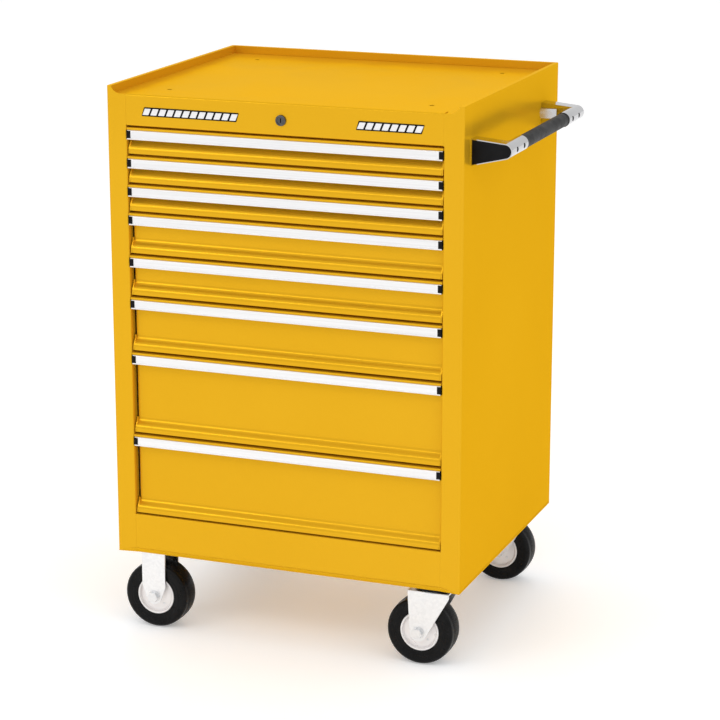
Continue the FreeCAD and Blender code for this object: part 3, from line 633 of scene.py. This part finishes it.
FLARE_MM = 22.0
FLARE_END_MM = 2.2
FLARE_STEPS = 12


def flare_ends(number):
    """Welded plates that close both ends of the front sheet's flared lower edge."""
    bm = welded(f"drawer_{number}")
    low, high = next(span(shell) for shell in islands(bm) if is_front(*span(shell)))
    bm.free()
    flat = max(high.y - mm(15), low.y + mm(8))
    bm = bmesh.new()
    for x, side in ((low.x, -1), (high.x, 1)):
        start, end = low.z + mm(5 + FLARE_MM), low.z + mm(5)
        curve = []
        for k in range(FLARE_STEPS + 1):
            t = k / FLARE_STEPS
            ease = t * t * (3 - 2 * t)
            curve.append((flat + (low.y - flat) * ease, start + (end - start) * t))
        outline = curve + [(low.y, low.z), (flat + mm(2), low.z), (flat + mm(2), start)]
        near = [bm.verts.new((x - side * mm(0.4), y, z)) for y, z in outline]
        far = [bm.verts.new((x + side * mm(FLARE_END_MM), y, z)) for y, z in outline]
        prism(bm, near, far)
    piece(f"drawer_{number}_flare_ends", bm, PAINT, f"drawer_{number}")


CAP_END_MM = 0.9  # how far a cap stands past the pull's end
CAP_TONGUE_MM = 6.6  # how far its tongue reaches in over the face


def pull_end_caps(number):
    """Black plugs in both ends of a pull: a tongue over the face's end and a cheek over the section."""
    low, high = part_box(f"drawer_{number}_pull")
    bm = bmesh.new()
    for side in (-1, 1):
        end = high.x if side > 0 else low.x
        xs = sorted((end - side * mm(CAP_TONGUE_MM), end + side * mm(CAP_END_MM)))
        rounded_box(bm, Vector((xs[0], low.y + mm(0.1), low.z + mm(2.6))),
                    Vector((xs[1], low.y + mm(2.4), high.z - mm(6.3))), mm(0.4))
        xs = sorted((end, end + side * mm(CAP_END_MM)))
        rounded_box(bm, Vector((xs[0], low.y + mm(0.6), low.z + mm(0.6))),
                    Vector((xs[1], low.y + mm(9), high.z - mm(5.0))), mm(0.3))
    piece(f"drawer_{number}_pull_caps", bm, PLASTIC, f"drawer_{number}")


RIB_PITCH_MM = 7.0


def liner(number, low, high):
    """A ribbed rubber mat on the drawer's floor."""
    bm = bmesh.new()
    x0, x1 = low.x + mm(1.5), high.x - mm(1.5)
    y0, y1 = low.y + mm(2), high.y - mm(1.5)
    base, rib = low.z + mm(1.4), low.z + mm(2.2)
    count = int((y1 - y0) / mm(RIB_PITCH_MM))
    step = (y1 - y0) / count
    outline = [(y0, low.z + mm(0.05)), (y0, base)]
    for k in range(count):
        start = y0 + k * step
        outline += [(start + step * 0.30, base), (start + step * 0.38, rib), (start + step * 0.62, rib),
                    (start + step * 0.70, base)]
    outline += [(y1, base), (y1, low.z + mm(0.05))]
    left = [bm.verts.new((x0, y, z)) for y, z in outline]
    right = [bm.verts.new((x1, y, z)) for y, z in outline]
    prism(bm, left, right)
    piece(f"drawer_{number}_liner", bm, LINER_RUBBER, f"drawer_{number}", angle=25)


TRAY_RIVETS = 4  # on each side
TRAY_RIVET_END_MM = 40.0


def tray_rivets(number, low, high):
    """Rivet heads inside the tray, where the slides are fixed to its sides."""
    bm = bmesh.new()
    z = sum(corner.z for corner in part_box(f"drawer_{number}_slides")) / 2
    end = mm(TRAY_RIVET_END_MM)
    for k in range(TRAY_RIVETS):
        y = low.y + end + (high.y - low.y - 2 * end) * k / (TRAY_RIVETS - 1)
        dome(bm, Vector((low.x - mm(0.1), y, z)), Vector((1, 0, 0)), 3.2, 1.3)
        dome(bm, Vector((high.x + mm(0.1), y, z)), Vector((-1, 0, 0)), 3.2, 1.3)
    piece(f"drawer_{number}_rivets", bm, ZINC, f"drawer_{number}")


BALLS = 14
BALL_RADIUS_MM = 1.05
BALL_ROW_MM = (30, 240)  # first and last ball, from the slide's front end
BALL_INSET_MM = 6.4
BALL_RISE_MM = 12.65  # each row's height above or below the slide's middle


def ball_rows(number):
    """Two rows of balls and their cage strips on each side, between the inner and middle slide members."""
    low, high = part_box(f"drawer_{number}_slides")
    middle = (low.z + high.z) / 2
    balls, cages = bmesh.new(), bmesh.new()
    for side in (-1, 1):
        x = high.x - mm(BALL_INSET_MM) if side > 0 else low.x + mm(BALL_INSET_MM)
        for row in (-1, 1):
            z = middle + row * mm(BALL_RISE_MM)
            y0, y1 = (low.y + mm(along) for along in BALL_ROW_MM)
            for k in range(BALLS):
                centre = Matrix.Translation((x, y0 + (y1 - y0) * k / (BALLS - 1), z))
                bmesh.ops.create_icosphere(balls, subdivisions=2, radius=mm(BALL_RADIUS_MM), matrix=centre)
            rounded_box(cages, Vector((x - mm(0.9), y0 - mm(6), z - mm(0.3))),
                        Vector((x + mm(0.9), y1 + mm(6), z + mm(0.3))), mm(0.15), 1)
    piece(f"drawer_{number}_balls", balls, CHROME, f"drawer_{number}_slides", angle=60)
    piece(f"drawer_{number}_ball_cages", cages, ZINC, f"drawer_{number}_slides")


# ---- lock ------------------------------------------------------------------------------------------
def lock():
    """The key plug and its housing, with a turned bezel round the plug, all in near-black metal whose
    darkness is a painted reflection of the dark surroundings a chrome lock mirrors.
    """
    finished("lock_plug", 0.3, LOCK_METAL_PAINTED_REFLECTION)
    finished("lock_housing", 0.3, LOCK_METAL_PAINTED_REFLECTION)
    low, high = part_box("lock_housing")
    centre = Vector(((low.x + high.x) / 2, low.y, (low.z + high.z) / 2))
    ring = [(6.75, 0.6), (7.2, -0.1), (8.0, -0.35), (8.9, 0.0)]
    ring += [(9.6, 0.9), (9.75, 2.0), (9.75, 3.0), (6.75, 3.0)]
    bm = bmesh.new()
    lathe(bm, ring, centre, 64)
    piece("lock_bezel", bm, LOCK_METAL_PAINTED_REFLECTION, "root")


# ---- handle ----------------------------------------------------------------------------------------
def handle():
    """The push handle: brackets, end caps, tube, set screws and grip."""
    finished("handle_brackets", 0.8)
    finished("handle_end_caps", 0.5)
    finished("handle_tube", 0.3)
    finished("handle_set_screws", 0.25, PLASTIC)
    screw_seats()
    grip()


def screw_seats():
    """A black countersunk ring round each of the handle's set screws."""
    source = welded("handle_set_screws")
    spots = [span(shell) for shell in islands(source)]
    source.free()
    bm = bmesh.new()
    for low, high in spots:
        centre = Vector((high.x + mm(0.15), (low.y + high.y) / 2, (low.z + high.z) / 2))
        ring = [(2.0, 0.0), (2.3, 0.6), (3.4, 0.8), (4.5, 0.3), (4.7, -1.2), (2.0, -1.2)]
        lathe(bm, ring, centre, 32, "X")
    piece("handle_screw_seats", bm, PLASTIC, "root")


GRIP_FLUTES = 30
FLUTE_DEPTH_MM = 0.35


def grip():
    """Rubber sleeve with shallow flutes along it, between two smooth collars."""
    low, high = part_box("handle_grip")
    centre = (low + high) / 2
    length = (high.y - low.y) * 1000
    collar, sleeve, bore = 13.2, 12.4, 11.02
    stations = [(0, bore, 0), (0, collar - 0.6, 0), (0.5, collar, 0), (2.5, collar, 0)]
    stations += [(3.2, collar - 0.5, 0), (4.2, sleeve, 0), (8, sleeve, 0.2), (11, sleeve, 1)]
    mirrored = [(length - along, radius, flute) for along, radius, flute in reversed(stations)]
    bm = bmesh.new()
    segments = GRIP_FLUTES * 8
    rings = []
    for along, radius, flute in stations + mirrored:
        ring = []
        for k in range(segments):
            angle = 2 * math.pi * k / segments
            r = radius - FLUTE_DEPTH_MM * flute * (0.5 - 0.5 * math.cos(GRIP_FLUTES * angle))
            ring.append(bm.verts.new((centre.x + mm(r * math.cos(angle)), low.y + mm(along),
                                      centre.z + mm(r * math.sin(angle)))))
        rings.append(ring)
    for a, b in zip(rings, rings[1:] + rings[:1]):
        for k in range(segments):
            n = (k + 1) % segments
            bm.faces.new((a[k], a[n], b[n], b[k]))
    bmesh.ops.recalc_face_normals(bm, faces=bm.faces)
    piece("handle_grip_fluted", bm, GRIP_RUBBER, "root", ("handle_grip",), angle=50)


# ---- casters ---------------------------------------------------------------------------------------
def arc_points(centre, radius, start, end, steps):
    """Points on an arc of (radius, offset) coordinates, angles in degrees."""
    made = []
    for k in range(steps + 1):
        angle = math.radians(start + (end - start) * k / steps)
        made.append((centre[0] + radius * math.cos(angle), centre[1] + radius * math.sin(angle)))
    return made


CROWN_MM = 63.45
TREAD_DEPTH_MM = 1.3


def tyre_profile():
    """Half of the tyre's section from the bead to the crown: bead, scuff ring, shoulder, tread lines."""
    half = [(36.9, 20.5), (36.9, 22.4)]
    half += arc_points((38.6, 22.4), 1.0, 150, 60, 4)
    half += [(40.6, 23.5), (44.5, 24.2), (45.0, 24.6), (46.6, 24.7), (47.1, 24.35), (50.5, 24.7)]
    half += arc_points((54.2, 16.2), 8.6, 88, 18, 12)
    for z in (10.8, 6.4, 2.2):
        r = CROWN_MM - (z / 25) ** 2 * 2.2
        floor = r - TREAD_DEPTH_MM
        half += [(r, z + 1.1), (floor, z + 0.6), (floor, z - 0.6), (r, z - 1.1)]
    return half


def rim_profile():
    """Half of the wheel centre's section from the bore out: hub, dished disc, groove, rolled outer bead."""
    half = [(6.1, 26.8), (11.6, 26.8), (12.6, 26.0), (12.9, 23.5), (13.6, 21.2)]
    half += [(15.5, 19.9), (18.5, 19.3), (25.5, 18.9)]
    half += [(29.5, 18.6), (30.6, 18.1), (31.2, 17.5), (31.9, 17.7), (32.4, 18.8), (32.9, 20.9)]
    half += arc_points((34.9, 21.6), 1.9, 170, 20, 7)
    half += [(36.9, 21.0)]
    return half


def both_sides(half):
    return half + [(r, -t) for r, t in reversed(half)]


WHEEL_RIVETS = 4
RIVET_CIRCLE_MM = 21.5
DISC_FACE_MM = 18.9  # the disc's face, from the wheel's middle


def wheels():
    """Four moulded tyres on pale wheel centres, with rivets through the discs."""
    for place, hand in CASTERS:
        body = f"wheel_{place}_{hand}"
        low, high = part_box(f"tyre_{place}_{hand}")
        centre = (low + high) / 2
        bm = bmesh.new()
        lathe(bm, both_sides(tyre_profile()), centre, 128)
        piece(f"tyre_{place}_{hand}_moulded", bm, TYRE_RUBBER, body,
              (f"tyre_{place}_{hand}",), angle=38)
        bm = bmesh.new()
        lathe(bm, both_sides(rim_profile()), centre, 96)
        piece(f"wheel_{place}_{hand}_disc", bm, ENAMEL, body,
              (f"wheel_rim_{place}_{hand}",), angle=38)
        bm = bmesh.new()
        for k in range(WHEEL_RIVETS):
            angle = math.pi / 4 + 2 * math.pi * k / WHEEL_RIVETS
            for side in (-1, 1):
                across = mm(RIVET_CIRCLE_MM * math.cos(angle))
                up = mm(RIVET_CIRCLE_MM * math.sin(angle))
                spot = centre + Vector((across, side * mm(DISC_FACE_MM), up))
                dome(bm, spot, Vector((0, side, 0)), 2.6, 1.3)
        piece(f"wheel_{place}_{hand}_rivets", bm, ZINC, body)


def caster_steel():
    """The casters' forks, mounting plates, axles and bolts."""
    for node in ("rigid_forks", "swivel_fork_front", "swivel_fork_rear"):
        finished(node, 0.5, BRIGHT_ZINC)
    finished("swivel_plates", 0.4, ZINC)
    for node in ("rigid_axles", "swivel_axle_front", "swivel_axle_rear", "mounting_bolts"):
        finished(node, 0.35, BOLT_STEEL)


def shade_race_rings():
    """Black ring round each swivel race, fixed to the mounting plate: partly a dust seal, and made wide so
    that its black paints in the shade under the body's lower edge.
    """
    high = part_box("swivel_plates")[1]
    for place in ("front", "rear"):
        fork_low, fork_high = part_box(f"swivel_fork_{place}")
        y = (fork_low.y + fork_high.y) / 2
        joint = next(j for j in frame["joints"] if j["name"] == f"caster_{place}_swivels")
        centre = Vector((joint["pos_m"][0], y, fork_high.z))
        top = (high.z - fork_high.z) * 1000 - 3.0
        # The ring reaches out to 35 mm round the race, so its black stands as painted shade over the fork's
        # crown, under the body's edge.
        ring = [(31.7, 0.9), (34.0, 0.7), (35.0, 1.5), (35.0, 5.5), (33.8, 7.5), (31.0, top), (27.1, top)]
        bm = bmesh.new()
        lathe(bm, ring, centre, 72, "Z")
        piece(f"race_ring_shade_{place}", bm, PLASTIC, "root")


# ---- studio ----------------------------------------------------------------------------------------
FLOOR_SIZE = 400
FLOOR_GLOW = 0.26
WORLD_STRENGTH = 0.82
LIGHT_TARGET = Vector((0, 0, 0.5))
LIGHTS = (  # name, place, width, height, power in watts
    ("key", (-2.6, -3.4, 2.9), 1.6, 1.6, 16),
    ("bar", (0.8, -2.6, 3.0), 6.0, 0.3, 22),
    ("fill", (3.8, -1.6, 2.0), 2.0, 2.0, 7),
    ("top", (0.2, 0.3, 3.6), 2.4, 2.4, 5),
    ("rear", (-1.5, 3.2, 2.6), 2.0, 2.0, 11),
)


def studio():
    """A pale floor, a white world and five soft lights."""
    floor_look = Surface("studio_floor", Specular_IOR_Level=0.1, Emission_Strength=FLOOR_GLOW)
    floor_look.color(floor_look.noise(0.6, 2), (0.91, 0.91, 0.91), (0.93, 0.93, 0.93))
    floor_look.roughness(floor_look.noise(3, 2), 0.55, 0.6)
    bpy.ops.mesh.primitive_plane_add(size=FLOOR_SIZE)
    floor = bpy.context.object
    floor.name = "studio_floor"
    floor.data.materials.append(floor_look.material)
    world = bpy.data.worlds.new("studio_world")
    world.use_nodes = True
    world.node_tree.nodes["Background"].inputs["Color"].default_value = (1, 1, 1, 1)
    world.node_tree.nodes["Background"].inputs["Strength"].default_value = WORLD_STRENGTH
    bpy.context.scene.world = world
    for name, place, width, height, power in LIGHTS:
        light = bpy.data.lights.new(name, "AREA")
        light.shape = "RECTANGLE"
        light.size = width
        light.size_y = height
        light.energy = power
        obj = bpy.data.objects.new(name, light)
        obj.location = place
        obj.rotation_euler = (LIGHT_TARGET - Vector(place)).to_track_quat("-Z", "Y").to_euler()
        bpy.context.scene.collection.objects.link(obj)


CAMERA_PLACE = (1.615, -4.2245, 1.706)
CAMERA_TARGET = (0.004, 0, 0.487)
LENS_MM = 124


def camera():
    """The camera at the place fitted to the photograph."""
    cam = bpy.data.cameras.new("camera")
    cam.lens = LENS_MM
    obj = bpy.data.objects.new("camera", cam)
    obj.location = CAMERA_PLACE
    obj.rotation_euler = (Vector(CAMERA_TARGET) - obj.location).to_track_quat("-Z", "Y").to_euler()
    bpy.context.scene.collection.objects.link(obj)
    bpy.context.scene.camera = obj
    bpy.context.scene.view_settings.view_transform = "Standard"


# ---- build -----------------------------------------------------------------------------------------
body_shell()
back_rivets()
badges()
for number in DRAWERS:
    drawer(number)
lock()
handle()
wheels()
caster_steel()
shade_race_rings()
studio()
camera()
